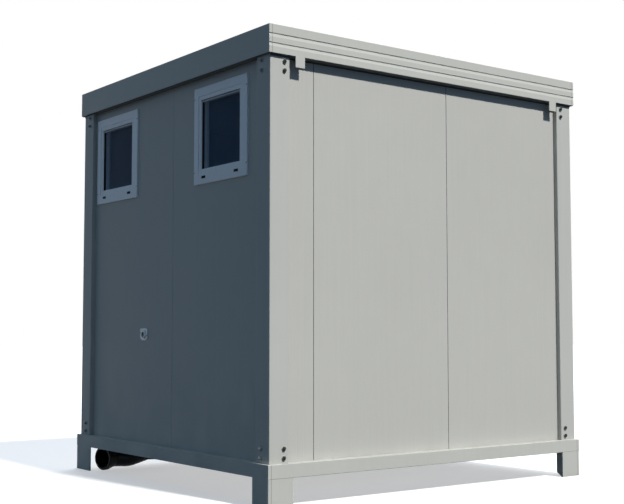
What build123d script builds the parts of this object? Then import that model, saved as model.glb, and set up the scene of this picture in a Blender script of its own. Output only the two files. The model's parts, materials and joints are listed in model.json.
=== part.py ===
from build123d import *
import math
import os

# Small sanitary container on four angle legs, in millimetres.
# Z is up and zero under the legs. The front face looks along -Y, the wall with
# the two windows looks along -X, and the entrance door is in the +X wall.

# Allowance by which a cutting block stands past the faces that it cuts
cut_extra = 1.0

# Overall frame
overall_x = 2438.0
overall_y = 2300.0
leg_height = 156.0
floor_beam_height = 75.0
fascia_height = 154.0
frame_overhang = 19.0
frame_sheet = 5.0

# Corner posts
post_face = 128.0
post_sheet = 5.0
panel_recess = 30.0
post_bend_radius = 4.5

# Legs
leg_plate = 8.0
front_leg_x = 160.0
front_leg_y = 150.0
front_leg_return = 50.0
front_leg_return_cut = 28.0
back_leg_x = 100.0
back_leg_y = 200.0
leg_corner_radius = 5.0

# Floor
floor_beam_lip = 40.0
joist_height = 42.0
joist_width = 60.0
joist_spacing = 560.0
joist_count = 3
floor_board = 22.0

# Wall panels
wall_thickness = 60.0
panel_module = 1000.0
first_panel_width = 282.0
window_wall_first_panel = 1050.0
tongue_depth = 12.0
tongue_thickness = 18.0
joint_clearance = 0.5
seam_chamfer = 2.0

# Roof
top_band_height = 56.0
middle_band_height = 51.0
groove_depth = 8.0
groove_slope_height = 8.5
band_crown_height = 14.0
end_strip = 20.0
tab_width = 62.0
tab_drop = 60.0
tab_offset = 174.0
ceiling_thickness = 20.0
roof_rib_pitch = 200.0
roof_rib_height = 18.0
roof_rib_top = 40.0
roof_rib_foot = 70.0
roof_sheet_thickness = 3.0
roof_edge_drop = 30.0

# Windows
window_width = 568.0
window_height = 564.0
window_below_eave = 58.0
front_window_setback = 509.0
back_window_setback = 413.0
window_proud = 10.0
window_frame_face = 49.0
window_frame_depth = 70.0
window_cut_margin = 14.0
window_rim_chamfer = 2.0
window_sill_height = 7.0
sash_gap = 2.0
sash_face = 25.0
sash_set_back = 3.0
sash_depth = 50.0
bead_bevel = 3.0
sash_stop = 12.0
glass_thickness = 24.0
glass_seat = 6.0
glass_set_back = 18.0

# Door
door_opening_width = 875.0
door_opening_height = 2000.0
door_centre_y = 0.0
panel_over_door = 102.0
door_frame_face = 60.0
door_frame_proud = 3.0
door_rebate = 12.0
door_gap = 4.0
door_leaf_thickness = 44.0
door_edge_radius = 2.0
threshold_height = 20.0
hinge_radius = 8.0
hinge_height = 110.0
hinge_leaf_width = 56.0
hinge_leaf_thickness = 3.0
hinge_end_distance = 220.0
handle_height = 1050.0
handle_edge_distance = 62.0
handle_plate_width = 40.0
handle_plate_height = 220.0
handle_plate_thickness = 5.0
handle_plate_drop = 44.0
handle_plate_corner = 10.0
lever_length = 125.0
lever_radius = 8.0
lever_reach = 29.0

# Water inlet
inlet_setback = 802.0
inlet_height = 908.0
inlet_plate_width = 92.0
inlet_plate_height = 76.0
inlet_plate_thickness = 6.0
inlet_top_radius = 8.0
inlet_bottom_radius = 30.0
inlet_collar_radius = 26.0
inlet_collar_height = 7.0
inlet_bore_radius = 17.0
inlet_stub_radius = 22.0
inlet_stub_length = 42.0

# Drain
drain_radius = 62.5
drain_wall = 4.0
drain_socket_radius = 78.0
drain_socket_length = 60.0
drain_socket_depth = 48.0
drain_rim_chamfer = 4.0
drain_bead_length = 34.0
drain_bead_height = 8.0
drain_fit = 0.5
drain_axis_height = 87.0
drain_mouth_inset = 52.0
drain_mouth_setback = 282.0
drain_mouth_turn = 15.0
drain_first_leg = 110.0
drain_run_inset = 232.0
drain_run_setback = 308.0
drain_trap_inset = 397.0
drain_trap_radius = 66.0
drain_trap_depth = 132.0
drain_slope = 15.0
drain_bend_radius = 72.0

# Levels and planes worked out from the sizes above
half_x = overall_x / 2
half_y = overall_y / 2
post_x = half_x - frame_overhang
post_y = half_y - frame_overhang
panel_x = post_x - panel_recess
panel_y = post_y - panel_recess
inner_x = panel_x - wall_thickness
inner_y = panel_y - wall_thickness
beam_bottom = leg_height
beam_top = leg_height + floor_beam_height
floor_top = beam_top + floor_board
eave = floor_top + door_opening_height + door_frame_face + panel_over_door
roof_top = eave + fascia_height
floor_underside = beam_bottom + joist_height
ceiling_bottom = eave - ceiling_thickness

os.makedirs("parts", exist_ok=True)


def save(name, shape):
    export_step(shape, f"parts/{name}.step")


def block(x_low, x_high, y_low, y_high, z_low, z_high):
    size = (x_high - x_low, y_high - y_low, z_high - z_low)
    centre = ((x_low + x_high) / 2, (y_low + y_high) / 2, (z_low + z_high) / 2)
    return Pos(*centre) * Box(*size)


def upright(profile, bottom, top):
    return Pos(0, 0, bottom) * extrude(profile, amount=top - bottom, dir=(0, 0, 1))


def mirrored_x(shape):
    return mirror(shape, about=Plane.YZ)


def mirrored_y(shape):
    return mirror(shape, about=Plane.XZ)


# Angle legs under the four corners of the floor frame. Each front leg has a third
# flange, turned back at the inner edge and cut off aslant at the ground.
def angle_leg(flange_x, flange_y):
    outline = make_face(Polyline(
        (-half_x, -half_y),
        (-half_x + flange_x, -half_y),
        (-half_x + flange_x, -half_y + leg_plate),
        (-half_x + leg_plate, -half_y + leg_plate),
        (-half_x + leg_plate, -half_y + flange_y),
        (-half_x, -half_y + flange_y),
        close=True,
    ))
    leg = upright(outline, 0, leg_height)
    heel = leg.edges().filter_by(Axis.Z).sort_by_distance((-half_x, -half_y, leg_height / 2))[0]
    return fillet(heel, leg_corner_radius)


def leg_return():
    front = -half_y + leg_plate
    back = -half_y + front_leg_return
    side = make_face(Polyline(
        (-half_x + front_leg_x, front, 0),
        (-half_x + front_leg_x, front, leg_height),
        (-half_x + front_leg_x, back, leg_height),
        (-half_x + front_leg_x, back, front_leg_return_cut),
        close=True,
    ))
    return extrude(side, amount=leg_plate, dir=(-1, 0, 0))


front_leg = angle_leg(front_leg_x, front_leg_y) + leg_return()
back_leg = mirrored_y(angle_leg(back_leg_x, back_leg_y))
save("leg_front_left", front_leg)
save("leg_front_right", mirrored_x(front_leg))
save("leg_back_left", back_leg)
save("leg_back_right", mirrored_x(back_leg))


# Floor frame of folded channels: the broad top flange carries the walls
def channel_section(reach, lip):
    points = [
        (0, 0),
        (lip, 0),
        (lip, frame_sheet),
        (frame_sheet, frame_sheet),
        (frame_sheet, floor_beam_height - frame_sheet),
        (reach, floor_beam_height - frame_sheet),
        (reach, floor_beam_height),
        (0, floor_beam_height),
    ]
    return points


top_flange = frame_overhang + panel_recess + wall_thickness
section_points = channel_section(top_flange, floor_beam_lip)
front_section = make_face(Polyline(
    [(0, -half_y + across, beam_bottom + up) for across, up in section_points],
    close=True,
))
front_beam = extrude(front_section, amount=half_x, dir=(1, 0, 0), both=True)
heel_edges = front_beam.edges().filter_by(Axis.X).group_by(Axis.Y)[0]
front_beam = fillet(heel_edges, frame_sheet / 2)
save("floor_beam_front", front_beam)
save("floor_beam_back", mirrored_y(front_beam))

side_length = overall_y - 2 * top_flange
side_section = make_face(Polyline(
    [(-half_x + across, 0, beam_bottom + up) for across, up in section_points],
    close=True,
))
side_beam = extrude(side_section, amount=side_length / 2, dir=(0, 1, 0), both=True)
side_web_ends = [
    block(-half_x, -half_x + frame_sheet, y_low, y_high, beam_bottom, beam_top)
    for y_low, y_high in (
        (-half_y + frame_sheet, -side_length / 2),
        (side_length / 2, half_y - frame_sheet),
    )
]
for web_end in side_web_ends:
    side_beam = side_beam + (web_end - front_beam - mirrored_y(front_beam))
save("floor_beam_left", side_beam)
save("floor_beam_right", mirrored_x(side_beam))

# Floor cassette between the beams, the joists under it and the board on top
joists = [
    Pos(0, (row - (joist_count - 1) / 2) * joist_spacing, beam_bottom + joist_height / 2)
    * Box(2 * (half_x - frame_sheet), joist_width, joist_height)
    for row in range(joist_count)
]
joist_notch_x = half_x - floor_beam_lip
notch = block(joist_notch_x, half_x, -half_y, half_y, beam_bottom, beam_bottom + frame_sheet)
joists = [joist - notch - mirrored_x(notch) for joist in joists]
save("floor_joists", Compound(joists))
save("floor_cassette", block(-inner_x, inner_x, -inner_y, inner_y, floor_underside, beam_top))
save("floor_deck", block(-inner_x, inner_x, -inner_y, inner_y, beam_top, floor_top))


# Corner posts folded from sheet, with a return lip that closes on the panels
def corner_post():
    outer = [
        (-post_x, -post_y),
        (-post_x + post_face, -post_y),
        (-post_x + post_face, -panel_y),
        (-post_x + post_face - post_sheet, -panel_y),
        (-post_x + post_face - post_sheet, -post_y + post_sheet),
        (-post_x + post_sheet, -post_y + post_sheet),
        (-post_x + post_sheet, -post_y + post_face - post_sheet),
        (-panel_x, -post_y + post_face - post_sheet),
        (-panel_x, -post_y + post_face),
        (-post_x, -post_y + post_face),
    ]
    post = upright(make_face(Polyline(outer, close=True)), beam_top, eave)
    middle = (beam_top + eave) / 2
    folds = [
        (-post_x, -post_y, middle),
        (-post_x + post_face, -post_y, middle),
        (-post_x, -post_y + post_face, middle),
    ]
    upright_edges = post.edges().filter_by(Axis.Z)
    rounded = [upright_edges.sort_by_distance(fold)[0] for fold in folds]
    return fillet(rounded, post_bend_radius)


front_left_post = corner_post()
save("corner_post_front_left", front_left_post)
save("corner_post_front_right", mirrored_x(front_left_post))
save("corner_post_back_left", mirrored_y(front_left_post))
save("corner_post_back_right", mirrored_x(mirrored_y(front_left_post)))


# Sandwich panels with a tongue on one edge and a groove on the other, so the
# joint shows as one fine line on the face
def panel_outline(start, end, outer, inner, tongue, groove):
    inward = 1 if inner > outer else -1
    middle = (outer + inner) / 2
    half_tongue = tongue_thickness / 2 * inward
    half_groove = (tongue_thickness / 2 + joint_clearance) * inward
    chamfer_in = outer + seam_chamfer * inward
    points = [(start + (seam_chamfer if tongue else 0), outer)]
    if groove:
        points += [
            (end - seam_chamfer, outer),
            (end, chamfer_in),
            (end, middle - half_groove),
            (end - tongue_depth - joint_clearance, middle - half_groove),
            (end - tongue_depth - joint_clearance, middle + half_groove),
            (end, middle + half_groove),
            (end, inner),
        ]
    else:
        points += [(end, outer), (end, inner)]
    if tongue:
        points += [
            (start, inner),
            (start, middle + half_tongue),
            (start - tongue_depth, middle + half_tongue),
            (start - tongue_depth, middle - half_tongue),
            (start, middle - half_tongue),
            (start, chamfer_in),
        ]
    else:
        points += [(start, inner)]
    return points


def panel_along_x(start, end, outer, inner, tongue, groove):
    outline = panel_outline(start, end, outer, inner, tongue, groove)
    return upright(make_face(Polyline(outline, close=True)), beam_top, eave)


def panel_along_y(start, end, outer, inner, tongue, groove):
    outline = panel_outline(start, end, outer, inner, tongue, groove)
    turned = [(across, along) for along, across in outline]
    return upright(make_face(Polyline(turned, close=True)), beam_top, eave)


first_seam = -panel_x + first_panel_width
front_edges = [-panel_x, first_seam, first_seam + panel_module, panel_x]
panel_count = len(front_edges) - 1
for number in range(panel_count):
    front_panel = panel_along_x(
        front_edges[number], front_edges[number + 1], -panel_y, -inner_y,
        tongue=number > 0, groove=number < panel_count - 1,
    )
    save(f"front_panel_{number + 1}", front_panel)
    save(f"back_panel_{number + 1}", mirrored_y(front_panel))

# Window wall: two panels, each with its cut-out
cut_width = window_width - 2 * window_cut_margin
cut_height = window_height - 2 * window_cut_margin
window_middle_z = eave - window_below_eave - window_height / 2
front_window_y = -panel_y + front_window_setback
back_window_y = panel_y - back_window_setback
left_seam = -panel_y + window_wall_first_panel
inlet_y = panel_y - inlet_setback


def window_cut(centre_y):
    return Pos(-(panel_x + inner_x) / 2, centre_y, window_middle_z) * Box(
        wall_thickness * 2, cut_width, cut_height
    )


inlet_hole = Pos(-panel_x, inlet_y, inlet_height) * Cylinder(
    inlet_stub_radius, 2 * inlet_stub_length, rotation=(0, 90, 0)
)
left_front = panel_along_y(-inner_y, left_seam, -panel_x, -inner_x, tongue=False, groove=True)
left_back = panel_along_y(left_seam, inner_y, -panel_x, -inner_x, tongue=True, groove=False)
save("left_panel_front", left_front - window_cut(front_window_y))
save("left_panel_back", left_back - window_cut(back_window_y) - inlet_hole)

# Door wall: one panel each side of the doorway and one over it
frame_width = door_opening_width + 2 * door_frame_face
frame_top = floor_top + door_opening_height + door_frame_face
door_low = door_centre_y - frame_width / 2
door_high = door_centre_y + frame_width / 2
save("right_panel_front", block(inner_x, panel_x, -inner_y, door_low, beam_top, eave))
save("right_panel_back", block(inner_x, panel_x, door_high, inner_y, beam_top, eave))
save("right_panel_over", block(inner_x, panel_x, door_low, door_high, frame_top, eave))


# Roof edge: the front and back carry a rolled profile of three bands. Each band
# turns in with a slope at its foot, and the band below swells out of the groove
# in a round shoulder that runs tangent into its flat face.
def fascia_groove(level):
    face = (0, -half_y, level + groove_slope_height)
    bottom = (0, -half_y + groove_depth, level)
    shoulder = (0, -half_y, level - band_crown_height)
    outline = Wire([
        Line(face, bottom),
        TangentArc(shoulder, bottom, tangent=(0, 0, 1)),
        Line(shoulder, face),
    ])
    return extrude(make_face(outline), amount=half_x, dir=(1, 0, 0), both=True)


top_groove_level = roof_top - top_band_height
groove_levels = (top_groove_level, top_groove_level - middle_band_height)
front_grooves = [fascia_groove(level) for level in groove_levels]
back_grooves = [mirrored_y(groove) for groove in front_grooves]


def profiled_fascia():
    section = make_face(Polyline(
        (0, -half_y, eave),
        (0, -half_y, roof_top),
        (0, -half_y + end_strip, roof_top),
        (0, -half_y + end_strip, eave + frame_sheet),
        (0, -inner_y, eave + frame_sheet),
        (0, -inner_y, eave),
        close=True,
    ))
    length = half_x - end_strip
    return extrude(section, amount=length, dir=(1, 0, 0), both=True) - front_grooves


def eave_tab(centre_x):
    return block(centre_x - tab_width / 2, centre_x + tab_width / 2,
                 -half_y, -half_y + frame_sheet, eave - tab_drop, eave)


tab_x = half_x - tab_offset - tab_width / 2
front_fascia = profiled_fascia() + eave_tab(-tab_x) + eave_tab(tab_x)
save("roof_fascia_front", front_fascia)
save("roof_fascia_back", mirrored_y(front_fascia))

# The two sides are plain folded sheets whose ends wrap the corners and carry the
# same grooves
side_sheet = block(-half_x, -half_x + end_strip, -half_y, half_y, eave, roof_top)
side_flange = block(-half_x + end_strip, -inner_x, -inner_y, inner_y, eave, eave + frame_sheet)
side_fascia = side_sheet + side_flange
side_fascia = fillet(
    side_fascia.edges().filter_by(Axis.Z).group_by(Axis.X)[0], frame_sheet / 2
) - front_grooves - back_grooves
save("roof_fascia_left", side_fascia)
save("roof_fascia_right", mirrored_x(side_fascia))

# Roof: ceiling board, insulated core and ribbed sheet with its lowered edge
core_top = roof_top - roof_edge_drop - roof_rib_height - roof_sheet_thickness
core_x = half_x - end_strip
core_y = half_y - end_strip
core = block(-core_x, core_x, -core_y, core_y, eave + frame_sheet, core_top)
well = block(-inner_x, inner_x, -inner_y, inner_y, eave, eave + frame_sheet)
save("roof_core", core + well)
save("ceiling_board", block(-inner_x, inner_x, -inner_y, inner_y, ceiling_bottom, eave))


def roof_sheet():
    rib_count = int((2 * core_x - roof_rib_foot) // roof_rib_pitch)
    first = -(rib_count - 1) * roof_rib_pitch / 2
    upper = [(-core_x, core_top + roof_sheet_thickness)]
    for rib in range(rib_count):
        centre = first + rib * roof_rib_pitch
        base = core_top + roof_sheet_thickness
        upper += [
            (centre - roof_rib_foot / 2, base),
            (centre - roof_rib_top / 2, base + roof_rib_height),
            (centre + roof_rib_top / 2, base + roof_rib_height),
            (centre + roof_rib_foot / 2, base),
        ]
    upper.append((core_x, core_top + roof_sheet_thickness))
    outline = upper + [(core_x, core_top), (-core_x, core_top)]
    section = make_face(Polyline([(x, 0, z) for x, z in outline], close=True))
    return extrude(section, amount=core_y, dir=(0, 1, 0), both=True)


save("roof_sheet", roof_sheet())


# Windows: a frame set in the cut-out, a sash in the frame and sealed glass in the sash
def ring(depth_low, depth_high, centre_y, width, height, face):
    body = block(depth_low, depth_high, centre_y - width / 2, centre_y + width / 2,
                 window_middle_z - height / 2, window_middle_z + height / 2)
    hole = block(depth_low - cut_extra, depth_high + cut_extra,
                 centre_y - width / 2 + face, centre_y + width / 2 - face,
                 window_middle_z - height / 2 + face, window_middle_z + height / 2 - face)
    return body - hole


window_face_x = -panel_x - window_proud


def window_frame(centre_y):
    cover = ring(window_face_x, -panel_x, centre_y, window_width, window_height, window_frame_face)
    cover_bottom = window_middle_z - window_height / 2
    sill = block(window_face_x, -panel_x, centre_y - window_width / 2, centre_y + window_width / 2,
                 cover_bottom - window_sill_height, cover_bottom)
    body = ring(-panel_x, window_face_x + window_frame_depth, centre_y,
                cut_width, cut_height, window_frame_face - window_cut_margin)
    stop = ring(sash_x + sash_depth, window_face_x + window_frame_depth, centre_y,
                cut_width, cut_height,
                window_frame_face - window_cut_margin + sash_gap + sash_stop)
    frame = cover + sill + body + stop
    rim = frame.faces().sort_by(Axis.X)[0].outer_wire().edges()
    return chamfer(rim, window_rim_chamfer)


sash_width = window_width - 2 * window_frame_face - 2 * sash_gap
sash_height = window_height - 2 * window_frame_face - 2 * sash_gap
sash_x = window_face_x + sash_set_back
glass_width = sash_width - 2 * sash_face + 2 * glass_seat
glass_height = sash_height - 2 * sash_face + 2 * glass_seat
glass_x = sash_x + glass_set_back


def window_glass(centre_y):
    return block(glass_x, glass_x + glass_thickness,
                 centre_y - glass_width / 2, centre_y + glass_width / 2,
                 window_middle_z - glass_height / 2, window_middle_z + glass_height / 2)


def window_sash(centre_y):
    sash = ring(sash_x, sash_x + sash_depth, centre_y, sash_width, sash_height, sash_face)
    mouth = sash.faces().sort_by(Axis.X)[0].inner_wires()[0].edges()
    sash = chamfer(mouth, bead_bevel)
    return sash - window_glass(centre_y)


for name, centre_y in (("window_front", front_window_y), ("window_back", back_window_y)):
    save(f"{name}_frame", window_frame(centre_y))
    save(f"{name}_sash", window_sash(centre_y))
    save(f"{name}_glass", window_glass(centre_y))


# Closed entrance door in its folded steel frame
def door_frame():
    outer_x = panel_x + door_frame_proud
    body = block(inner_x, outer_x, door_low, door_high, floor_top, frame_top)
    opening_low = door_centre_y - door_opening_width / 2
    opening_high = door_centre_y + door_opening_width / 2
    opening_top = floor_top + door_opening_height
    body = body - block(inner_x - cut_extra, outer_x + cut_extra, opening_low, opening_high,
                        floor_top + threshold_height, opening_top)
    rebate = block(outer_x - door_leaf_thickness, outer_x + cut_extra,
                   opening_low - door_rebate, opening_high + door_rebate,
                   floor_top + threshold_height, opening_top + door_rebate)
    foot = block(inner_x, panel_x, door_low, door_high, beam_top, floor_top)
    return body - rebate + foot


save("door_frame", door_frame())


def door_leaf():
    low = door_centre_y - door_opening_width / 2 - door_rebate + door_gap
    high = door_centre_y + door_opening_width / 2 + door_rebate - door_gap
    bottom = floor_top + threshold_height + door_gap
    top = floor_top + door_opening_height + door_rebate - door_gap
    back = panel_x + door_frame_proud - door_leaf_thickness
    leaf = block(back, panel_x + door_frame_proud, low, high, bottom, top)
    return fillet(leaf.edges().group_by(Axis.X)[-1], door_edge_radius)


save("door_leaf", door_leaf())

door_face_x = panel_x + door_frame_proud
door_bottom = floor_top + threshold_height
door_top = floor_top + door_opening_height
hinge_y = door_centre_y + door_opening_width / 2 + door_rebate - door_gap / 2


def hinge(centre_z):
    leaf = Pos(door_face_x + hinge_leaf_thickness / 2, hinge_y, centre_z) * Box(
        hinge_leaf_thickness, hinge_leaf_width, hinge_height
    )
    knuckle = Pos(door_face_x + hinge_radius, hinge_y, centre_z) * Cylinder(hinge_radius, hinge_height)
    return leaf + knuckle


hinge_levels = [
    door_bottom + hinge_end_distance,
    (door_bottom + door_top) / 2,
    door_top - hinge_end_distance,
]
save("door_hinges", Compound([hinge(level) for level in hinge_levels]))


# Lever handle on a long plate at the opening edge
def door_handle():
    handle_y = door_centre_y - door_opening_width / 2 + handle_edge_distance
    handle_z = floor_top + handle_height
    start = door_face_x + handle_plate_thickness / 2
    plate = Pos(start, handle_y, handle_z - handle_plate_drop) * Box(
        handle_plate_thickness, handle_plate_width, handle_plate_height
    )
    plate = fillet(plate.edges().filter_by(Axis.X), handle_plate_corner)
    turn = door_face_x + handle_plate_thickness + lever_reach
    path = FilletPolyline(
        (start, handle_y, handle_z),
        (turn, handle_y, handle_z),
        (turn, handle_y + lever_length, handle_z),
        radius=2 * lever_radius,
    )
    grip = sweep(Plane((start, handle_y, handle_z), z_dir=(1, 0, 0)) * Circle(lever_radius), path=path)
    return plate + grip


save("door_handle", door_handle())


# Water inlet: a small plate with a collar and a stub pipe through the panel skin
def water_inlet():
    half_width = inlet_plate_width / 2
    half_height = inlet_plate_height / 2
    plate = Pos(-panel_x - inlet_plate_thickness / 2, inlet_y, inlet_height) * Box(
        inlet_plate_thickness, 2 * half_width, 2 * half_height
    )
    corners = plate.edges().filter_by(Axis.X).group_by(Axis.Z)
    plate = fillet(corners[0], inlet_bottom_radius)
    top_corners = plate.edges().filter_by(Axis.X).group_by(Axis.Z)[-1]
    plate = fillet(top_corners, inlet_top_radius)
    collar_low = -panel_x - inlet_plate_thickness - inlet_collar_height
    collar = Pos((collar_low - panel_x) / 2, inlet_y, inlet_height) * Cylinder(
        inlet_collar_radius, -panel_x - collar_low, rotation=(0, 90, 0)
    )
    stub = Pos(-panel_x + inlet_stub_length / 2, inlet_y, inlet_height) * Cylinder(
        inlet_stub_radius, inlet_stub_length, rotation=(0, 90, 0)
    )
    bore = Pos(-panel_x, inlet_y, inlet_height) * Cylinder(
        inlet_bore_radius, 2 * (inlet_stub_length + cut_extra), rotation=(0, 90, 0)
    )
    return plate + collar + stub - bore


save("water_inlet", water_inlet())


# Drain pipe with its moulded socket just behind the left beam. It runs back, turns
# and climbs to a trap that hangs under the floor.
drain_out = Vector(-1, 0, 0).rotate(Axis.Z, drain_mouth_turn)
drain_mouth = Vector(-half_x + drain_mouth_inset, half_y - drain_mouth_setback, drain_axis_height)
drain_start = Plane(drain_mouth, z_dir=drain_out * -1)


def tube_along(edges, radius):
    pieces = []
    for edge in edges:
        section = Plane(edge @ 0, z_dir=edge % 0) * Circle(radius)
        if edge.geom_type == GeomType.LINE:
            pieces.append(extrude(section, amount=edge.length))
        else:
            turn = Axis(edge.arc_center, (edge % 0).cross(edge % 1))
            pieces.append(revolve(section, axis=turn, revolution_arc=(edge % 0).get_angle(edge % 1)))
    return pieces[0] + pieces[1:]


drain_run_y = half_y - drain_run_setback
drain_run_x = -half_x + drain_run_inset
drain_trap_x = -half_x + drain_trap_inset
drain_climb = (drain_trap_x - drain_run_x) * math.tan(math.radians(drain_slope))


def drain_route():
    return FilletPolyline(
        drain_mouth - drain_out * drain_socket_depth,
        drain_mouth - drain_out * drain_first_leg,
        Vector(drain_run_x, drain_run_y, drain_axis_height),
        Vector(drain_trap_x, drain_run_y, drain_axis_height + drain_climb),
        radius=drain_bend_radius,
    )


def drain_trap():
    return Pos(drain_trap_x, drain_run_y, floor_underside - drain_trap_depth / 2) * Cylinder(
        drain_trap_radius, drain_trap_depth
    )


def drain_socket():
    neck = drain_socket_radius - drain_bead_height
    profile = Polyline(
        (0, 0),
        (drain_socket_radius - drain_rim_chamfer, 0),
        (drain_socket_radius, drain_rim_chamfer),
        (drain_socket_radius, drain_bead_length - drain_rim_chamfer),
        (neck, drain_bead_length),
        (neck, drain_socket_length - drain_rim_chamfer),
        (neck - drain_rim_chamfer, drain_socket_length),
        (0, drain_socket_length),
        close=True,
    )
    return drain_start * revolve(Plane.XZ * make_face(profile), axis=Axis.Z)


# The bore is cut as far as the end of the first bend, all that the mouth shows
def drain_pipe():
    route = drain_route().edges()
    first_leg_and_bend = route[:2]
    body = tube_along(route, drain_radius) + drain_socket() + drain_trap()
    mouth = drain_start * Pos(0, 0, drain_socket_depth / 2) * Cylinder(
        drain_radius + drain_fit, drain_socket_depth
    )
    return body - tube_along(first_leg_and_bend, drain_radius - drain_wall) - mouth


save("drain_pipe", drain_pipe())
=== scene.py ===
import json
import math

import bmesh
import bpy
from mathutils import Matrix, Vector


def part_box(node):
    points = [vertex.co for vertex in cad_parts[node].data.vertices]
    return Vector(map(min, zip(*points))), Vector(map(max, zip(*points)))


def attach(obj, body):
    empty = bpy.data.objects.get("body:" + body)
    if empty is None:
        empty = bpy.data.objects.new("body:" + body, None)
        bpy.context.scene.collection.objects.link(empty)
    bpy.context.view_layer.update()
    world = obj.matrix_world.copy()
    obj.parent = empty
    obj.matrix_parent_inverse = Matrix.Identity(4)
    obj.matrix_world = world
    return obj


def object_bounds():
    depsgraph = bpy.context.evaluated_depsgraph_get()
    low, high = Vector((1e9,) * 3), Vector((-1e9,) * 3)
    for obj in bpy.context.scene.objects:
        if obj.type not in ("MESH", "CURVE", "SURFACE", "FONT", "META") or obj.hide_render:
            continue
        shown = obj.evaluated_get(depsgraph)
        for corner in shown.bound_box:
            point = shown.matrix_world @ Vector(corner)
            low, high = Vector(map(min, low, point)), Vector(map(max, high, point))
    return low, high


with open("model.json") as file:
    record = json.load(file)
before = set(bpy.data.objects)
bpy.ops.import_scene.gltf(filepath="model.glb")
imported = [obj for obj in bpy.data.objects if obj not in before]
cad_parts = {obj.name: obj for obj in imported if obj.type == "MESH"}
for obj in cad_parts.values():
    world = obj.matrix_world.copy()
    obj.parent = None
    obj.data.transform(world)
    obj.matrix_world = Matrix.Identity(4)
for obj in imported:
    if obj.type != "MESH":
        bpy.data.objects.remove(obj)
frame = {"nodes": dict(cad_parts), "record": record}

# Looks of a small sanitary container on angle legs, in metres.
# Z is up, the front looks along -Y and the window wall along -X.

cad_low, cad_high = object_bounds()
scene = bpy.context.scene
nodes = frame["nodes"]


# Places on the container, read from the frame
post_low, post_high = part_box("corner_post_front_left")
far_post_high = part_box("corner_post_back_right")[1]
post_foot_z = post_low.z
post_head_z = post_high.z
panel_face_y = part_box("front_panel_1")[0].y
window_wall_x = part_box("left_panel_front")[0].x
roof_edge_end_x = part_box("roof_fascia_front")[1].x
roof_crown_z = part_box("roof_sheet")[1].z

to_front = (0, -1, 0)
to_back = (0, 1, 0)
to_left = (-1, 0, 0)
to_right = (1, 0, 0)
upward = (0, 0, 1)


# Shader writing
class Value:
    """A number that varies over a surface. Arithmetic on it adds Math nodes."""

    def __init__(self, shader, socket):
        self.shader = shader
        self.socket = socket

    def math(self, operation, *others):
        return self.shader.math(operation, self, *others)

    def __add__(self, other):
        return self.math("ADD", other)

    def __sub__(self, other):
        return self.math("SUBTRACT", other)

    def __mul__(self, other):
        return self.math("MULTIPLY", other)

    def __truediv__(self, other):
        return self.math("DIVIDE", other)

    def __rsub__(self, other):
        return self.shader.math("SUBTRACT", other, self)

    def __rtruediv__(self, other):
        return self.shader.math("DIVIDE", other, self)

    __radd__ = __add__
    __rmul__ = __mul__

    def clamped(self):
        return self.math("MINIMUM", 1.0).math("MAXIMUM", 0.0)

    def ramp(self, start, end):
        """0 at the start and 1 at the end, whichever of the two is larger."""
        return ((self - start) / (end - start)).clamped()


class Shader:
    """One node tree. Every node comes from the method node()."""

    def __init__(self, tree):
        self.tree = tree
        self.tree.nodes.clear()

    def node(self, kind, settings=None, inputs=None):
        made = self.tree.nodes.new(kind)
        for setting, value in (settings or {}).items():
            setattr(made, setting, value)
        for place, value in (inputs or {}).items():
            target = made.inputs[place]
            source = value.socket if isinstance(value, Value) else value
            if isinstance(source, bpy.types.NodeSocket):
                self.tree.links.new(source, target)
            else:
                target.default_value = source
        return made

    def number(self, kind, settings=None, inputs=None, output=0):
        return Value(self, self.node(kind, settings, inputs).outputs[output])

    def math(self, operation, *terms):
        return self.number("ShaderNodeMath", {"operation": operation}, dict(enumerate(terms)))

    def blend(self, share, first, second):
        """The first colour where the share is 0, and the second where it is 1."""
        inputs = {0: share, 6: opaque(first), 7: opaque(second)}
        return self.node("ShaderNodeMix", {"data_type": "RGBA"}, inputs).outputs[2]


def opaque(colour):
    """A plain colour with its alpha; a link stays as it is."""
    return (*colour, 1.0) if isinstance(colour, tuple) else colour


def shaded(colour, factor):
    return tuple(channel * factor for channel in colour)


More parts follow.
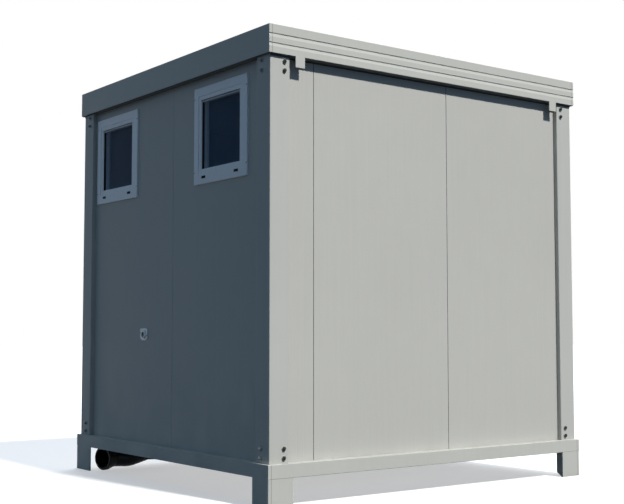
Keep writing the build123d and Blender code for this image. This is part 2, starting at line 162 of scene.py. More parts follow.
class Finish(Shader):
    """A procedural material on one Principled shader, with places in metres."""

    def __init__(self, name, sockets):
        self.material = bpy.data.materials.new(name)
        self.material.use_nodes = True
        super().__init__(self.material.node_tree)
        self.surface = self.node("ShaderNodeBsdfPrincipled", None, sockets)
        output = self.node("ShaderNodeOutputMaterial")
        self.tree.links.new(self.surface.outputs[0], output.inputs[0])
        self.place = self.node("ShaderNodeTexCoord").outputs["Object"]
        parts = self.node("ShaderNodeSeparateXYZ", None, {0: self.place})
        self.x, self.y, self.z = (Value(self, socket) for socket in parts.outputs)

    def vary(self, **varying):
        """Links what changes over the surface, such as base_color=colour."""
        for name, value in varying.items():
            target = self.surface.inputs[name.replace("_", " ").title()]
            self.tree.links.new(value.socket if isinstance(value, Value) else value, target)

    def noise(self, size, detail, stretch=(1.0, 1.0, 1.0)):
        """Soft noise in lumps of a size, which can be drawn out along an axis."""
        spread = tuple(1.0 / (size * along) for along in stretch)
        scaled = self.node("ShaderNodeVectorMath", {"operation": "MULTIPLY"}, {0: self.place, 1: spread})
        inputs = {"Vector": scaled.outputs[0], "Scale": 1.0, "Detail": detail, "Roughness": 0.5}
        return self.number("ShaderNodeTexNoise", None, inputs)

    def facing(self):
        """How far the surface faces along X, Y and Z, from 0 to 1 each."""
        normal = self.node("ShaderNodeNewGeometry").outputs["Normal"]
        parts = self.node("ShaderNodeSeparateXYZ", None, {0: normal})
        return [Value(self, socket).math("ABSOLUTE") for socket in parts.outputs]

    def crevice_shade(self, reach):
        """Painted shade: 1 in corners and under ledges within reach, 0 in the open."""
        inputs = {"Distance": reach}
        open_share = self.number("ShaderNodeAmbientOcclusion", {"samples": 6}, inputs, output="AO")
        return (1.0 - open_share).ramp(0.25, 0.8)

    def bump(self, height, depth):
        """The height is in shares of the depth, and the depth in metres."""
        bumped = self.node("ShaderNodeBump", None, {"Distance": depth, "Height": height})
        self.vary(normal=bumped.outputs[0])


# Painted steel
frame_grey = (0.478, 0.478, 0.444)
edge_grey = (0.506, 0.506, 0.464)
panel_grey = (0.486, 0.479, 0.444)
roof_grey = (0.37, 0.375, 0.36)
lining_white = (0.72, 0.72, 0.70)
dust_tan = (0.40, 0.385, 0.34)
grime_and_shade_dark = (0.16, 0.16, 0.145)
paint_gloss = 0.05
dust_top_z = 0.75
dust_foot_z = 0.16
fine_line_pitch = 0.050
fine_line_width = 0.004
edge_joint_width = 0.0024


def painted_steel(name, grey, roughness, lined=False, jointed=False, dirt_and_shade=1.0):
    """Coil coating with orange peel, rain marks, dust near the ground, and grime with painted shade in
    corners and under ledges.

    Lined paint has the fine upright lines of the wall panels. Jointed paint has dark
    hairlines on the front and back, where the long pieces of the roof edge meet the
    folded ends of the side pieces.
    """
    paint = Finish(name, {"Roughness": roughness, "Specular IOR Level": paint_gloss})
    cloud = paint.noise(size=1.1, detail=3.0)
    patch = paint.noise(size=0.16, detail=4.0)
    streak = paint.noise(size=0.022, detail=3.0, stretch=(1.0, 1.0, 34.0))
    peel = paint.noise(size=0.0028, detail=1.0)
    waves = paint.noise(size=0.55, detail=1.0, stretch=(1.0, 1.0, 1.6))

    level = 0.5 + (cloud - 0.5) * 0.9 + (patch - 0.5) * 0.5 + (streak - 0.5) * 0.6
    clean = paint.blend(level.clamped(), shaded(grey, 0.955), shaded(grey, 1.045))
    dust = paint.z.ramp(dust_top_z, dust_foot_z) * patch.ramp(0.30, 0.75)
    dusty = paint.blend(dust * 0.22 * dirt_and_shade, clean, dust_tan)
    # Grime with painted shade: darker in corners, in seams and under the roof edge, where the occlusion
    # finds them
    grime_and_shade = paint.crevice_shade(reach=0.05) * patch.ramp(0.25, 0.6)
    colour = paint.blend(grime_and_shade * 0.35 * dirt_and_shade, dusty, grime_and_shade_dark)
    if jointed:
        _, facing_y, _ = paint.facing()
        aside = (paint.x.math("ABSOLUTE") - roof_edge_end_x).math("ABSOLUTE")
        joint = aside.ramp(edge_joint_width, edge_joint_width / 3) * facing_y
        colour = paint.blend(joint * 0.7, colour, grime_and_shade_dark)
    paint.vary(base_color=colour)

    height = peel * 0.05 + waves * 1.6
    if lined:
        facing_x, facing_y, _ = paint.facing()
        along = paint.x * facing_y + paint.y * facing_x
        line = along.math("PINGPONG", fine_line_pitch / 2).ramp(fine_line_width, 0.0)
        height = height - line * 0.35
    paint.bump(height, depth=0.001)
    rough = roughness + (patch - 0.5) * 0.16 + dust * 0.2 + grime_and_shade * 0.2
    paint.vary(roughness=rough.clamped())
    return paint.material


frame_paint = painted_steel("frame_paint", frame_grey, roughness=0.42)
edge_paint = painted_steel("edge_paint", edge_grey, roughness=0.42, jointed=True)
panel_paint = painted_steel("panel_paint", panel_grey, roughness=0.45, lined=True)
roof_paint = painted_steel("roof_paint", roof_grey, roughness=0.5, dirt_and_shade=1.6)
lining_paint = painted_steel("lining_paint", lining_white, roughness=0.5, dirt_and_shade=0.2)


# Zinc coating of the joists and of the underside of the floor
zinc_dark = (0.30, 0.31, 0.32)
zinc_bright = (0.52, 0.53, 0.54)
spangles_per_metre = 60.0


def galvanised_steel(name):
    """Dull zinc, whose spangles differ a little in grey."""
    zinc = Finish(name, {"Metallic": 0.85})
    settings = {"operation": "SCALE"}
    inputs = {0: zinc.place, "Scale": spangles_per_metre}
    scaled = zinc.node("ShaderNodeVectorMath", settings, inputs)
    inputs = {"Vector": scaled.outputs[0], "Scale": 1.0}
    spangle = zinc.number("ShaderNodeTexVoronoi", None, inputs, output="Color")
    stain = zinc.noise(size=0.08, detail=4.0)
    zinc.vary(base_color=zinc.blend(spangle * 0.6 + stain * 0.4, zinc_dark, zinc_bright))
    zinc.vary(roughness=(0.38 + spangle * 0.12 + stain * 0.18).clamped())
    zinc.bump(spangle * 0.1 + stain * 0.3, depth=0.0004)
    return zinc.material


zinc_coat = galvanised_steel("zinc_coat")


# Bolts, screws, hinges and the bars at the edge of the glass
def small_metal(name, clean, stained, metal):
    """A small fitting with stains and fine marks; metal is 0 where it is painted, or where its colour is
    a painted reflection.
    """
    steel = Finish(name, {"Metallic": metal, "Specular IOR Level": 0.3})
    stain = steel.noise(size=0.012, detail=4.0)
    mark = steel.noise(size=0.002, detail=2.0)
    steel.vary(base_color=steel.blend(stain.ramp(0.3, 0.7), clean, stained))
    steel.vary(roughness=(0.3 + stain * 0.25 + mark * 0.1).clamped())
    steel.bump(mark, depth=0.0001)
    return steel.material


# The bolt heads are all alike: near-black on the front and back and blue-grey on the sides are painted
# reflections
bolt_dark_reflection = small_metal("bolt_dark_reflection", (0.05, 0.05, 0.05), (0.015, 0.015, 0.014), metal=0.4)
bolt_sky_reflection = small_metal("bolt_sky_reflection", (0.20, 0.21, 0.23), (0.13, 0.14, 0.16), metal=0.0)
hinge_zinc = small_metal("hinge_zinc", (0.55, 0.55, 0.54), (0.32, 0.31, 0.29), metal=1.0)
spacer_bar = small_metal("spacer_bar", (0.84, 0.86, 0.88), (0.70, 0.72, 0.74), metal=0.0)


# Plastic, rubber, vinyl and foam
def moulded(name, colour, soil_and_shade, dirt_and_shade, roughness, specular=0.35, grain=0.0012):
    """A moulded surface with a fine grain, rain streaks, and soil with painted shade in its corners."""
    plastic = Finish(name, {"Specular IOR Level": specular})
    cloud = plastic.noise(size=0.25, detail=3.0)
    fleck = plastic.noise(size=0.02, detail=5.0)
    streak = plastic.noise(size=0.012, detail=3.0, stretch=(1.0, 1.0, 18.0))
    level = (cloud * 0.6 + streak * 0.4).clamped()
    clean = plastic.blend(level, shaded(colour, 0.94), shaded(colour, 1.05))
    # Soil with painted shade: darker in corners within reach of the occlusion
    grime_and_shade = plastic.crevice_shade(reach=0.02) * fleck.ramp(0.25, 0.65)
    film = fleck.ramp(0.45, 0.8) * 0.25
    plastic.vary(base_color=plastic.blend((grime_and_shade + film) * dirt_and_shade, clean, soil_and_shade))
    plastic.vary(roughness=(roughness + (fleck - 0.5) * 0.2 + grime_and_shade * 0.2).clamped())
    plastic.bump(plastic.noise(size=grain, detail=2.0) * 0.5 + cloud, depth=0.0002)
    return plastic.material


window_plastic = moulded(
    "window_plastic", (0.80, 0.84, 0.86), soil_and_shade=(0.40, 0.40, 0.37), dirt_and_shade=0.35,
    roughness=0.36, specular=0.15,
)
inlet_plastic = moulded(
    "inlet_plastic", (0.74, 0.76, 0.76), soil_and_shade=(0.30, 0.30, 0.27), dirt_and_shade=0.5,
    roughness=0.4,
)
drain_plastic = moulded(
    "drain_plastic", (0.006, 0.007, 0.008), soil_and_shade=(0.03, 0.03, 0.027), dirt_and_shade=0.4,
    roughness=0.34, specular=0.08, grain=0.0015,
)
handle_plastic = moulded(
    "handle_plastic", (0.022, 0.022, 0.023), soil_and_shade=(0.12, 0.12, 0.11), dirt_and_shade=0.4,
    roughness=0.42,
)
# Black rubber of the real seals and washers; in the wall seams and between the hinge knuckles it is
# painted shade
rubber_and_shade_black = moulded(
    "rubber_and_shade_black", (0.012, 0.012, 0.013), soil_and_shade=(0.05, 0.05, 0.045), dirt_and_shade=0.4,
    roughness=0.6, specular=0.10,
)
# Near-black for the strips of painted shade under the roof edge
eave_shade_dark = moulded(
    "eave_shade_dark", (0.10, 0.11, 0.11), soil_and_shade=(0.16, 0.16, 0.15), dirt_and_shade=0.4,
    roughness=0.8, specular=0.05,
)
slot_black = moulded(
    "slot_black", (0.008, 0.009, 0.010), soil_and_shade=(0.03, 0.03, 0.03), dirt_and_shade=0.3,
    roughness=0.8, specular=0.05,
)
# Pale grey lightened against the shade deep in the inlet bore: painted light
sleeve_painted_light = moulded(
    "sleeve_painted_light", (0.42, 0.43, 0.43), soil_and_shade=(0.20, 0.20, 0.18), dirt_and_shade=0.4,
    roughness=0.6, specular=0.1,
)
floor_vinyl = moulded(
    "floor_vinyl", (0.20, 0.22, 0.24), soil_and_shade=(0.30, 0.28, 0.25), dirt_and_shade=0.4,
    roughness=0.5,
)
foam_core = moulded(
    "foam_core", (0.62, 0.55, 0.36), soil_and_shade=(0.40, 0.34, 0.22), dirt_and_shade=0.4,
    roughness=0.8, grain=0.003,
)


# Glass: the blue of its colour is a painted reflection of the sky
glass_sky_reflection_dark = (0.026, 0.105, 0.200)
glass_sky_reflection_filmed = (0.040, 0.125, 0.235)
glass_cover = 0.34


def window_pane(name):
    """Sealed double glazing: dark and smooth, with a thin film of dust; its blue is a painted reflection
    of the sky.
    """
    sockets = {"Roughness": 0.04, "IOR": 1.5, "Alpha": glass_cover, "Specular IOR Level": 0.03}
    pane = Finish(name, sockets)
    film = pane.noise(size=0.07, detail=4.0)
    pane.vary(base_color=pane.blend(film.ramp(0.4, 0.8), glass_sky_reflection_dark, glass_sky_reflection_filmed))
    pane.vary(roughness=(0.03 + film.ramp(0.45, 0.85) * 0.05).clamped())
    pane.bump(pane.noise(size=0.35, detail=1.0), depth=0.0004)
    return pane.material


pane_glass = window_pane("pane_glass")


# Finishes of the container's own pieces
slot_finishes = {
    "frame_paint": frame_paint,
    "panel_paint": panel_paint,
    "roof_paint": roof_paint,
    "galvanised_steel": zinc_coat,
    "floor_covering": floor_vinyl,
    "insulation": foam_core,
    "inner_lining": lining_paint,
    "window_plastic": window_plastic,
    "window_glass": pane_glass,
    "hinge_steel": hinge_zinc,
    "handle_plastic": handle_plastic,
    "inlet_plastic": inlet_plastic,
    "drain_plastic": drain_plastic,
}
edge_pieces = ("roof_fascia", "floor_beam", "leg_")
for part in frame["record"]["subparts"]:
    materials = nodes[part["node"]].data.materials
    materials.clear()
    on_edge = part["node"].startswith(edge_pieces)
    materials.append(edge_paint if on_edge else slot_finishes[part["material_slot"]])


# Mesh building
def piece(name, shape, finish, crease=35.0):
    """Turns a bmesh into one piece that rides on the container."""
    mesh = bpy.data.meshes.new(name)
    shape.to_mesh(mesh)
    shape.free()
    mesh.materials.append(finish)
    mesh.shade_smooth()
    mesh.set_sharp_from_angle(angle=math.radians(crease))
    made = bpy.data.objects.new(name, mesh)
    scene.collection.objects.link(made)
    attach(made, "root")


def add_block(shape, low, high, bevel=0.0):
    """A box between two corners, with rounded edges where a bevel is given."""
    low, high = Vector(low), Vector(high)
    size = high - low
    place = Matrix.Translation((low + high) / 2) @ Matrix.Diagonal((*size, 1.0))
    made = bmesh.ops.create_cube(shape, size=1.0, matrix=place)
    if bevel:
        edges = dict.fromkeys(edge for vertex in made["verts"] for edge in vertex.link_edges)
        bmesh.ops.bevel(shape, geom=list(edges), offset=bevel, segments=3, affect="EDGES", profile=0.5)


def add_with_mirror(shape, low, high, axis):
    """A block and its mirror image across the middle of the container."""
    add_block(shape, low, high)
    flipped_low, flipped_high = list(low), list(high)
    flipped_low[axis], flipped_high[axis] = -high[axis], -low[axis]
    add_block(shape, flipped_low, flipped_high)


def add_ring(shape, x_low, x_high, middle, size, band):
    """A rectangular ring in the plane of a side wall, with its outer size."""
    outer_y, outer_z = size.y / 2, size.z / 2
    inner_y, inner_z = outer_y - band, outer_z - band
    for low_y, high_y, low_z, high_z in (
        (-outer_y, -inner_y, -outer_z, outer_z),
        (inner_y, outer_y, -outer_z, outer_z),
        (-inner_y, inner_y, inner_z, outer_z),
        (-inner_y, inner_y, -outer_z, -inner_z),
    ):
        low = (x_low, middle.y + low_y, middle.z + low_z)
        high = (x_high, middle.y + high_y, middle.z + high_z)
        add_block(shape, low, high)


def add_turned(shape, centre, direction, profile, sides=24):
    """A turned form: profile is a list of (radius, height) from the foot to the top."""
    turned = Vector(direction).to_track_quat("Z", "Y").to_matrix().to_4x4()
    place = Matrix.Translation(Vector(centre)) @ turned
    rings = []
    for radius, height in profile:
        ring = []
        for step in range(sides):
            angle = 2 * math.pi * step / sides
            point = Vector((radius * math.cos(angle), radius * math.sin(angle), height))
            ring.append(shape.verts.new(place @ point))
        rings.append(ring)
    for lower, upper in zip(rings, rings[1:]):
        for step in range(sides):
            following = (step + 1) % sides
            shape.faces.new((lower[step], lower[following], upper[following], upper[step]))
    shape.faces.new(rings[-1])
    shape.faces.new(list(reversed(rings[0])))


def add_prism(shape, corners, x_low, x_high):
    """A bar along X whose section is a list of (y, z) corners."""
    first, last = [[shape.verts.new((x, y, z)) for y, z in corners] for x in (x_low, x_high)]
    for place in range(len(corners)):
        following = (place + 1) % len(corners)
        shape.faces.new((first[place], first[following], last[following], last[place]))
    shape.faces.new(first)
    shape.faces.new(list(reversed(last)))


def edge_strips(middle, half, depth):
    """The two strips of a depth just inside the ends of a span, each from low to high."""
    for sign in (-1, 1):
        edge = middle + sign * half
        yield sorted((edge, edge - sign * depth))


def wider(size, step):
    """A size that is larger by a step on every side of a wall piece."""
    return size + Vector((0.0, 2 * step, 2 * step))


# Profile of a pan head with a driver recess: radius and height, in shares of the head's radius
pan_head = ((1.0, 0.0), (1.0, 0.25), (0.80, 0.50), (0.35, 0.58), (0.25, 0.30))


def add_screw(shape, centre, direction, radius):
    """The head of a small screw that lies on a plate."""
    profile = [(radius * share, radius * rise) for share, rise in pan_head]
    add_turned(shape, centre, direction, profile, sides=16)


# Hex bolts on washers, in pairs at the head and foot of every corner post
front_head_drops = (0.034, 0.084)
front_foot_rises = (0.079, 0.029)
front_bolt_inset = 0.092
side_head_drops = (0.026, 0.081)
side_foot_rises = (0.078, 0.028)
side_bolt_inset = 0.080
washer_radius = 0.0145
washer_thickness = 0.0022
washer_rim = 0.0006
hex_radius = 0.0112
hex_height = 0.0085
hex_chamfer_share = 0.80
thread_radius = 0.0052
thread_tip_radius = 0.0042
thread_sunk = 0.001
thread_shoulder = 0.003
thread_end = 0.0042


def add_washer(shape, centre, direction):
    add_turned(shape, centre, direction, [
        (washer_radius, 0.0),
        (washer_radius, washer_thickness - washer_rim),
        (washer_radius - washer_rim, washer_thickness),
    ])


def add_hex_head(shape, centre, direction):
    """A bolt head on its washer, with the chamfered end of the thread beyond it."""
    face = Vector(centre) + Vector(direction) * washer_thickness
    add_turned(shape, face, direction, [
        (hex_radius, 0.0),
        (hex_radius, hex_height * hex_chamfer_share),
        (hex_radius * hex_chamfer_share, hex_height),
    ], sides=6)
    add_turned(shape, face + Vector(direction) * hex_height, direction, [
        (thread_radius, -thread_sunk),
        (thread_radius, thread_shoulder),
        (thread_tip_radius, thread_end),
    ], sides=16)


def bolt_levels(head_drops, foot_rises):
    heads = [post_head_z - drop for drop in head_drops]
    return heads + [post_foot_z + rise for rise in foot_rises]


def front_bolt_places(face_y):
    """Bolt centres on the front or back faces of the posts."""
    for sign in (-1, 1):
        for level in bolt_levels(front_head_drops, front_foot_rises):
            yield sign * (far_post_high.x - front_bolt_inset), face_y, level


def side_bolt_places(face_x):
    """Bolt centres on the left or right faces of the posts."""
    for sign in (-1, 1):
        for level in bolt_levels(side_head_drops, side_foot_rises):
            yield face_x, sign * (far_post_high.y - side_bolt_inset), level


def add_post_bolts(side, places, direction, head_finish):
    washers = bmesh.new()
    heads = bmesh.new()
    for centre in places:
        add_washer(washers, centre, direction)
        add_hex_head(heads, centre, direction)
    piece(f"post_washers_{side}", washers, frame_paint)
    piece(f"post_bolts_{side}", heads, head_finish, crease=25.0)


# Same zinc bolts all round, in the two painted reflections
add_post_bolts("front", front_bolt_places(post_low.y), to_front, bolt_dark_reflection)
add_post_bolts("back", front_bolt_places(far_post_high.y), to_back, bolt_dark_reflection)
add_post_bolts("left", side_bolt_places(post_low.x), to_left, bolt_sky_reflection)
add_post_bolts("right", side_bolt_places(far_post_high.x), to_right, bolt_sky_reflection)


# Windows: what lies in and on the frame, sash and glass
sash_gap = 0.002
glass_rebate = 0.006
sill_drop = 0.007
gap_strip_front = 0.0006
gap_strip_back = 0.010
bead_face = 0.005
top_bead_face = 0.010
bead_set_back = 0.003
bead_seat = 0.001
glass_seal_depth = 0.0022
glass_seal_set_back = 0.005
top_joint_height = 0.0015
top_joint_set_back = 0.0012
top_joint_seat = 0.0004
edge_bar_face = 0.018
edge_rail_face = 0.003
edge_bar_front = 0.003
edge_bar_back = 0.021
cover_joint_length = 0.012
cover_joint_width = 0.003
cover_joint_rise = 0.012
cover_joint_proud = 0.0003
cover_joint_seat = 0.002
drain_cap_length = 0.042
drain_cap_height = 0.015
drain_cap_reach = 0.174
drain_cap_rise = 0.032
drain_cap_proud = 0.0024
drain_cap_seat = 0.001
drain_cap_edge = 0.0012


class Window:
    """One window, with the places of its trim."""

    def __init__(self, name):
        self.name = name
        self.frame_low, self.frame_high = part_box(f"{name}_frame")
        self.sash_low, self.sash_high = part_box(f"{name}_sash")
        glass_low, glass_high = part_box(f"{name}_glass")
        self.sash_face = self.sash_low.x
        self.glass_face = glass_low.x
        self.middle = (self.sash_low + self.sash_high) / 2
        self.opening = wider(glass_high - glass_low, -glass_rebate)
        self.clear = wider(self.opening, -bead_face)
        self.opening_top = self.middle.z + self.opening.z / 2

    def piece(self, name, shape, finish, slot):
        piece(f"{self.name}_{name}", shape, finish)

    def across_opening(self, front, back, foot, head):
        """Two corners of a bar as long as the opening is wide."""
        reach = self.opening.y / 2
        return (front, self.middle.y - reach, foot), (back, self.middle.y + reach, head)

    def add_gap_strip(self):
        """The strip that closes the gap between frame and sash, just behind their faces."""
        strip = bmesh.new()
        size = wider(self.sash_high - self.sash_low, sash_gap)
        front, back = self.sash_face + gap_strip_front, self.sash_face + gap_strip_back
        add_ring(strip, front, back, self.middle, size, sash_gap)
        self.piece("gap_strip", strip, window_plastic, "window_plastic")

    def add_glass_beads(self):
        """The beads that hold the glass, with the widest along the top."""
        beads = bmesh.new()
        front, back = self.sash_face + bead_set_back, self.glass_face + bead_seat
        add_ring(beads, front, back, self.middle, self.opening, bead_face)
        foot = self.opening_top - top_bead_face
        add_block(beads, *self.across_opening(front, back, foot, self.opening_top))
        self.piece("glass_beads", beads, window_plastic, "window_plastic")

    def add_glass_seal(self):
        """Rubber beside the glass, and the dark joint above the top bead."""
        seal = bmesh.new()
        foot = self.middle.z - self.clear.z / 2
        for start, end in edge_strips(self.middle.y, self.clear.y / 2, glass_seal_depth):
            low = (self.sash_face + glass_seal_set_back, start, foot)
            high = (self.glass_face, end, self.opening_top - top_bead_face)
            add_block(seal, low, high)
        front = self.sash_face + top_joint_set_back
        back = self.sash_face + bead_set_back + top_joint_seat
        foot = self.opening_top - top_joint_height
        add_block(seal, *self.across_opening(front, back, foot, self.opening_top))
        self.piece("glass_seal", seal, rubber_and_shade_black, "handle_plastic")

    def add_glass_edge(self):
        """The pale bars between the two sheets of glass, at their edges."""
        bars = bmesh.new()
        front, back = self.glass_face + edge_bar_front, self.glass_face + edge_bar_back
        half_y, half_z = self.clear.y / 2, self.clear.z / 2
        uprights = edge_strips(self.middle.y, half_y, edge_bar_face)
        rails = edge_strips(self.middle.z, half_z, edge_rail_face)
        for (start, end), (foot, head) in zip(uprights, rails):
            add_block(bars, (front, start, self.middle.z - half_z), (back, end, self.middle.z + half_z))
            low = (front, self.middle.y - half_y + edge_bar_face, foot)
            high = (back, self.middle.y + half_y - edge_bar_face, head)
            add_block(bars, low, high)
        self.piece("glass_edge", bars, spacer_bar, "hinge_steel")

    def add_cover_joints(self):
        """Hairline joints of the frame's cover strips, at their outer ends."""
        joints = bmesh.new()
        half_y = (self.frame_high.y - self.frame_low.y) / 2
        rise = self.opening.z / 2 + cover_joint_rise
        for start, end in edge_strips(self.middle.y, half_y, cover_joint_length):
            for z in (self.middle.z + rise, self.middle.z - rise):
                low = (self.frame_low.x - cover_joint_proud, start, z - cover_joint_width / 2)
                high = (self.frame_low.x + cover_joint_seat, end, z + cover_joint_width / 2)
                add_block(joints, low, high)
        self.piece("cover_joints", joints, rubber_and_shade_black, "handle_plastic")

    def add_drain_caps(self):
        """Black caps over the drain slots in the foot of the frame."""
        caps = bmesh.new()
        z = self.frame_low.z + sill_drop + drain_cap_rise
        half_length, half_height = drain_cap_length / 2, drain_cap_height / 2
        for sign in (-1, 1):
            y = self.middle.y + sign * drain_cap_reach
            low = (self.frame_low.x - drain_cap_proud, y - half_length, z - half_height)
            high = (self.frame_low.x + drain_cap_seat, y + half_length, z + half_height)
            add_block(caps, low, high, drain_cap_edge)
        self.piece("drain_caps", caps, slot_black, "handle_plastic")


for window in (Window("window_front"), Window("window_back")):
    window.add_gap_strip()
    window.add_glass_beads()
    window.add_glass_seal()
    window.add_glass_edge()
    window.add_cover_joints()
    window.add_drain_caps()


# Painted shade under the roof edge: a dark strip on the soffit all round, and dark beads along front and
# back, where the shade falls
soffit_height = 0.003
soffit_reach = 0.015
eave_bead_height = 0.012
eave_bead_depth = 0.003
post_width = post_high.x - post_low.x
post_half_x, post_half_y = far_post_high.x, far_post_high.y
wall_half_x, wall_half_y = -window_wall_x, -panel_face_y


def add_soffit_shade(shape):
    """A flat dark strip of painted shade round the container, from its walls to just beyond its posts.
    """
    inner = (wall_half_x, wall_half_y)
    outer = (post_half_x + soffit_reach, post_half_y + soffit_reach)
    for axis in (0, 1):
        other = 1 - axis
        reach = inner[other] if axis == 0 else outer[other]
        low, high = [0.0, 0.0, post_head_z - soffit_height], [0.0, 0.0, post_head_z]
        low[axis], high[axis] = -outer[axis], -inner[axis]
        low[other], high[other] = -reach, reach
        add_with_mirror(shape, low, high, axis)


def add_eave_shade_bead(shape, start, end, face):
    """A dark bead of painted shade along the front, under the soffit strip, and its copy on the back."""
    low = (start, -face - eave_bead_depth, post_head_z - eave_bead_height)
    high = (end, -face, post_head_z - soffit_height)
    add_with_mirror(shape, low, high, axis=1)


eave_shade_strips = bmesh.new()
add_soffit_shade(eave_shade_strips)
add_eave_shade_bead(eave_shade_strips, post_width - post_half_x, post_half_x - post_width, wall_half_y)
for start, end in edge_strips(0.0, post_half_x, post_width):
    add_eave_shade_bead(eave_shade_strips, start, end, post_half_y)
piece("eave_shade_strips", eave_shade_strips, eave_shade_dark)


# Dark strips in the seams of the front and back walls: painted shade in their grooves
seam_width = 0.0030
seam_front = 0.0002
seam_back = 0.0012
wall_seam_shade = bmesh.new()
for panel in ("front_panel_1", "front_panel_2"):
    seam_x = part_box(panel)[1].x
    low = (seam_x - seam_width / 2, panel_face_y + seam_front, post_foot_z)
    high = (seam_x + seam_width / 2, panel_face_y + seam_back, post_head_z)
    add_with_mirror(wall_seam_shade, low, high, axis=1)
piece("wall_seam_shade", wall_seam_shade, rubber_and_shade_black)


# Rolled shoulders that make the grooves of the roof edge shallow
top_band_height = 0.056
middle_band_height = 0.051
shoulder_end = 0.0002
# Corners of the section: depth behind the face, and rise above the foot of the band
shoulder_section = (
    (0.0090, 0.0040),
    (0.0036, 0.0046),
    (0.0030, 0.0010),
    (0.0021, -0.0040),
    (0.0011, -0.0090),
    (0.0003, -0.0138),
    (0.0090, -0.0138),
)
upper_groove_z = cad_high.z - top_band_height
lower_groove_z = upper_groove_z - middle_band_height
shoulders = bmesh.new()
for groove_z in (upper_groove_z, lower_groove_z):
    for face_y, inward in ((cad_low.y, 1), (cad_high.y, -1)):
        corners = [(face_y + inward * depth, groove_z + rise) for depth, rise in shoulder_section]
        add_prism(shoulders, corners, cad_low.x + shoulder_end, cad_high.x - shoulder_end)
bmesh.ops.recalc_face_normals(shoulders, faces=shoulders.faces)
piece("fascia_shoulders", shoulders, edge_paint)


# Water inlet: two plate screws, and a sleeve that is closed deep in the bore; its pale grey is painted
# light that lifts the shade in the bore
inlet_low, inlet_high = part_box("water_inlet")
inlet_middle = (inlet_low + inlet_high) / 2
inlet_collar_height = 0.007
inlet_screw_radius = 0.0045
inlet_screw_reach = 0.0405
inlet_screw_rise = 0.009
inlet_bore_radius = 0.017
sleeve_wall = 0.0012
sleeve_depth = 0.044
sleeve_length = 0.042
sleeve_floor = 0.006
sleeve_eye = 0.0010

inlet_screws = bmesh.new()
inlet_plate_x = inlet_low.x + inlet_collar_height
for sign in (-1, 1):
    y = inlet_middle.y + sign * inlet_screw_reach
    z = inlet_middle.z + sign * inlet_screw_rise
    add_screw(inlet_screws, (inlet_plate_x, y, z), to_left, inlet_screw_radius)
piece("inlet_screws", inlet_screws, bolt_sky_reflection)

inlet_sleeve = bmesh.new()
sleeve_foot = (inlet_low.x + sleeve_depth, inlet_middle.y, inlet_middle.z)
add_turned(inlet_sleeve, sleeve_foot, to_left, [
    (inlet_bore_radius, 0.0),
    (inlet_bore_radius, sleeve_length),
    (inlet_bore_radius - sleeve_wall, sleeve_length),
    (inlet_bore_radius - sleeve_wall, sleeve_floor),
    (sleeve_eye, sleeve_floor),
], sides=32)
piece("inlet_sleeve", inlet_sleeve, sleeve_painted_light)


# Door: rubber seal in the gap round the leaf
leaf_low, leaf_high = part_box("door_leaf")
leaf_middle = (leaf_low + leaf_high) / 2
leaf_face_x = leaf_high.x
door_gap = 0.004
door_seal_back = 0.016
door_seal_front = 0.010
door_seal = bmesh.new()
seal_size = wider(leaf_high - leaf_low, door_gap)
seal_low_x, seal_high_x = leaf_face_x - door_seal_back, leaf_face_x - door_seal_front
add_ring(door_seal, seal_low_x, seal_high_x, leaf_middle, seal_size, door_gap)
piece("door_seal", door_seal, rubber_and_shade_black)


# Door: lock cylinder and the two screws of the handle plate
handle_low, handle_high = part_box("door_handle")
plate_half_width = 0.020
plate_thickness = 0.005
plate_y = handle_low.y + plate_half_width
plate_face_x = leaf_face_x + plate_thickness
plate_screw_inset = 0.016
plate_screw_radius = 0.004
key_level = handle_low.z + 0.066
key_radius = 0.0085
key_face_radius = key_radius * 0.85
key_slot_radius = key_radius * 0.32
key_slot_floor_radius = key_radius * 0.30
key_shoulder = 0.004
key_face = 0.0050
key_slot_floor = 0.0030
key_web_drop = 0.014
key_web_lap = 0.002
key_web_half_width = 0.005
key_web_proud = 0.003
key_web_edge = 0.0012
plate_lap = 0.001

lock = bmesh.new()
add_turned(lock, (plate_face_x - plate_lap, plate_y, key_level), to_right, [
    (key_radius, 0.0),
    (key_radius, key_shoulder),
    (key_face_radius, key_face),
    (key_slot_radius, key_face),
    (key_slot_floor_radius, key_slot_floor),
], sides=32)
key_foot = key_level - key_radius
web_low = (plate_face_x - plate_lap, plate_y - key_web_half_width, key_foot - key_web_drop)
web_high = (plate_face_x + key_web_proud, plate_y + key_web_half_width, key_foot + key_web_lap)
add_block(lock, web_low, web_high, key_web_edge)
for level in (handle_low.z + plate_screw_inset, handle_high.z - plate_screw_inset):
    add_screw(lock, (plate_face_x, plate_y, level), to_right, plate_screw_radius)
piece("door_lock_cylinder", lock, hinge_zinc)


# Door: dark rings that paint the shade between the knuckles of the hinges, and the screws of their
# leaves
hinge_low, hinge_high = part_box("door_hinges")
hinge_y = (hinge_low.y + hinge_high.y) / 2
hinge_barrel_radius = 0.008
hinge_length = 0.110
hinge_leaf_thickness = 0.003
hinge_screw_radius = 0.0042
hinge_screw_reach = 0.018
hinge_screw_pitch = 0.036
ring_proud = 0.0003
ring_half_height = 0.0008
hinge_levels = (
    hinge_low.z + hinge_length / 2,
    (hinge_low.z + hinge_high.z) / 2,
    hinge_high.z - hinge_length / 2,
)
ring_radius = hinge_barrel_radius + ring_proud
ring_profile = [(ring_radius, -ring_half_height), (ring_radius, ring_half_height)]
barrel_x = leaf_face_x + hinge_barrel_radius
hinge_leaf_x = leaf_face_x + hinge_leaf_thickness

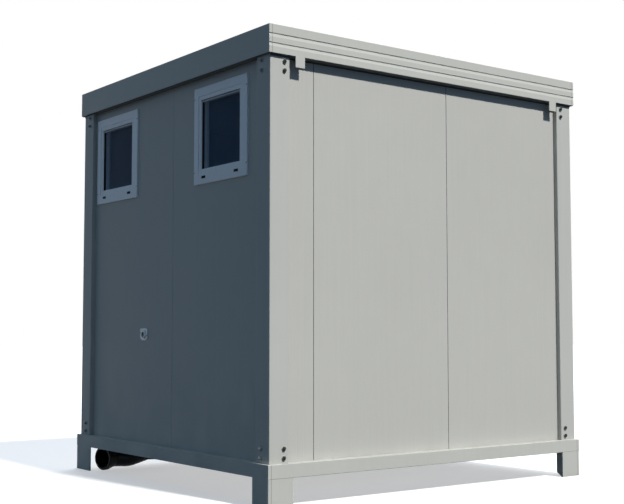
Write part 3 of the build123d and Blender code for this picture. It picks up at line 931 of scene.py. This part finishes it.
hinge_knuckle_shade = bmesh.new()
hinge_screws = bmesh.new()
for level in hinge_levels:
    for offset in (-hinge_length / 6, hinge_length / 6):
        add_turned(hinge_knuckle_shade, (barrel_x, hinge_y, level + offset), upward, ring_profile, sides=32)
    for sign in (-1, 1):
        for offset in (-hinge_screw_pitch, 0.0, hinge_screw_pitch):
            place = (hinge_leaf_x, hinge_y + sign * hinge_screw_reach, level + offset)
            add_screw(hinge_screws, place, to_right, hinge_screw_radius)
piece("door_hinge_knuckle_shade", hinge_knuckle_shade, rubber_and_shade_black)
piece("door_hinge_screws", hinge_screws, hinge_zinc)


# Roof: screws with sealing washers on the crowns of the sheet
crown_pitch = 0.200
crown_reach = 1.0
screw_rows = (-1.05, -0.35, 0.35, 1.05)
seal_washer = [(0.0080, 0.0), (0.0080, 0.0010), (0.0070, 0.0018)]
roof_screw_head = [(0.0042, 0.0), (0.0042, 0.0060), (0.0034, 0.0068)]

roof_washers = bmesh.new()
roof_screws = bmesh.new()
for crown in range(round(2 * crown_reach / crown_pitch) + 1):
    for row in screw_rows:
        place = (crown * crown_pitch - crown_reach, row, roof_crown_z)
        add_turned(roof_washers, place, upward, seal_washer, sides=16)
        add_turned(roof_screws, place, upward, roof_screw_head, sides=6)
piece("roof_washers", roof_washers, rubber_and_shade_black)
piece("roof_screws", roof_screws, hinge_zinc, crease=25.0)


# Lighting: a hard sun at the front, and a wide fill from the back right
sun_white = (1.0, 0.985, 0.955)
fill_white = (0.96, 0.98, 1.0)
sky_light = (0.095, 0.180, 0.285)
backdrop_white = (1.0, 1.0, 1.0)
lamp_distance = 10.0


def distant_light(name, strength, spread, tilt, turn, colour):
    """A sun that stands tilt above the ground, turned from the front towards +X, in degrees."""
    tilt, turn = math.radians(tilt), math.radians(turn)
    flat = math.cos(tilt)
    towards = Vector((math.sin(turn) * flat, -math.cos(turn) * flat, math.sin(tilt)))
    lamp = bpy.data.lights.new(name, "SUN")
    lamp.energy = strength
    lamp.angle = math.radians(spread)
    lamp.color = colour
    light = bpy.data.objects.new(name, lamp)
    light.rotation_euler = (-towards).to_track_quat("-Z", "Y").to_euler()
    light.location = towards * lamp_distance
    scene.collection.objects.link(light)


distant_light("key_light", strength=4.4, spread=3.0, tilt=50.0, turn=7.0, colour=sun_white)
distant_light("fill_light", strength=2.6, spread=50.0, tilt=38.0, turn=135.0, colour=fill_white)


def seen_directly(shader):
    """1 for what the camera sees, also in gloss or through glass, and 0 for other light."""
    path = shader.node("ShaderNodeLightPath")
    kinds = ("Is Camera Ray", "Is Glossy Ray", "Is Transmission Ray")
    camera_ray, glossy_ray, glass_ray = (Value(shader, path.outputs[kind]) for kind in kinds)
    return camera_ray.math("MAXIMUM", glossy_ray).math("MAXIMUM", glass_ray)


world = bpy.data.worlds.new("studio")
world.use_nodes = True
scene.world = world
sky = Shader(world.node_tree)
sky_colour = sky.blend(seen_directly(sky), sky_light, backdrop_white)
background = sky.node("ShaderNodeBackground", None, {"Color": sky_colour, "Strength": 1.0})
sky.tree.links.new(background.outputs[0], sky.node("ShaderNodeOutputWorld").inputs[0])


# Studio floor: pale as the camera sees it, and dim for the light that it throws back
floor_half_size = 60.0
floor_tones = ((0.60, 0.60, 0.60), (0.62, 0.62, 0.62))
floor_bounce = (0.026, 0.027, 0.032)
floor_glow = (0.45, 0.45, 0.45)
no_glow = (0.0, 0.0, 0.0)


def floor_material():
    sockets = {"Roughness": 0.9, "Specular IOR Level": 0.0, "Emission Strength": 1.0}
    finish = Finish("studio_floor", sockets)
    direct = seen_directly(finish)
    pale = finish.blend(finish.noise(size=1.5, detail=2.0), *floor_tones)
    finish.vary(base_color=finish.blend(direct, floor_bounce, pale))
    finish.vary(emission_color=finish.blend(direct, no_glow, floor_glow))
    return finish.material


floor_mesh = bpy.data.meshes.new("studio_floor")
floor_signs = ((-1, -1), (1, -1), (1, 1), (-1, 1))
floor_corners = [(x * floor_half_size, y * floor_half_size, 0.0) for x, y in floor_signs]
floor_mesh.from_pydata(floor_corners, [], [(0, 1, 2, 3)])
floor_mesh.materials.append(floor_material())
floor = bpy.data.objects.new("studio_floor", floor_mesh)
scene.collection.objects.link(floor)


# Camera: place, angles in radians and lens as in the photograph
camera_place = (-4.5956, -6.0671, 0.9241)
camera_rise = 0.07018
camera_turn = 0.63988
picture_width = 624
focal_pixels = 1135.28
sensor_width = 36.0
camera_data = bpy.data.cameras.new("photo_camera")
camera_data.sensor_fit = "HORIZONTAL"
camera_data.sensor_width = sensor_width
camera_data.lens = sensor_width * focal_pixels / picture_width
camera_data.clip_end = 300.0
camera = bpy.data.objects.new("photo_camera", camera_data)
camera.location = camera_place
camera.rotation_euler = (math.pi / 2 + camera_rise, 0.0, -camera_turn)
scene.collection.objects.link(camera)
scene.camera = camera

scene.view_settings.view_transform = "Standard"
